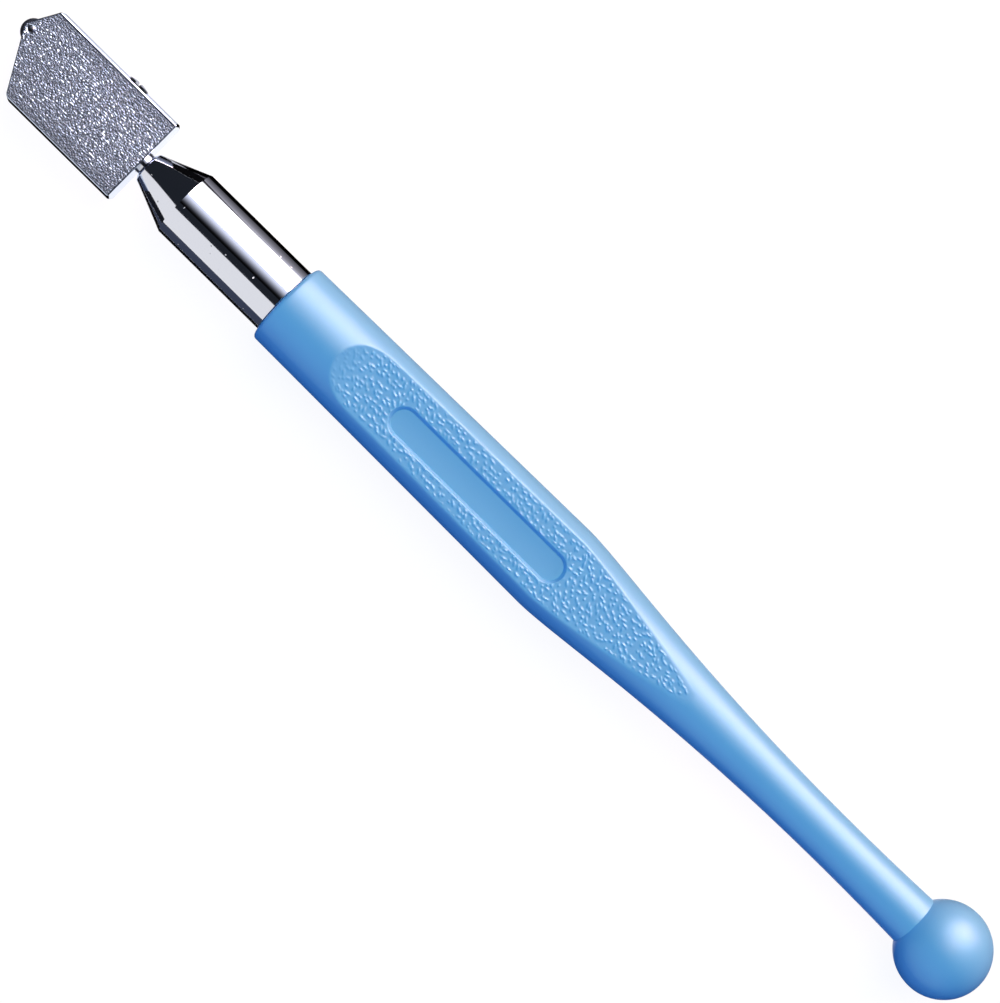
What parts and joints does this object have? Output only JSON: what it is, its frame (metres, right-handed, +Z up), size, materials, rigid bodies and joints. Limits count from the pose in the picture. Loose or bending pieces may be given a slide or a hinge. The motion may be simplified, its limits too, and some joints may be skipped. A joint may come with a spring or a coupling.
{
  "type": "glass cutter",
  "caption": "Hand glass cutter: swivelling cast head with a hard-metal wheel, chrome cone-nosed ferrule, and a moulded handle with grip flats that ends in a tapping ball.",
  "frame": {"origin": "on the surface the tool lies on, under the middle of its length", "axes": "+X along the tool towards its cutting head, +Z up out of the front grip flat, -Y on the side of the head's screw"},
  "size_m": [0.1748, 0.0136, 0.0129],
  "materials": {
    "handle_plastic": "moulded blue plastic, satin gloss with pebbled grip flats",
    "ferrule_chrome": "polished chrome plate",
    "head_plating": "hammered plated casting with polished edges",
    "pin_steel": "ground steel",
    "wheel_carbide": "ground hard metal"
  },
  "bodies": {
    "handle": {"handle": "handle_plastic", "ferrule": "ferrule_chrome", "swivel_pin": "pin_steel"},
    "head": {"head_body": "head_plating", "wheel_axle": "pin_steel", "retaining_screw": "pin_steel"},
    "wheel": {"cutting_wheel": "wheel_carbide"}
  },
  "joints": [
    {"name": "head_swivel", "type": "hinge", "parent": "handle", "child": "head", "pos_m": [0.06362, 0, 0.00648], "axis": [1, 0, 0], "range_deg": [-15, 15]},
    {"name": "wheel_spin", "type": "hinge", "parent": "head", "child": "wheel", "pos_m": [0.08568, -0.00205, 0.00648], "axis": [0, 0, 1], "continuous": true}
  ]
}
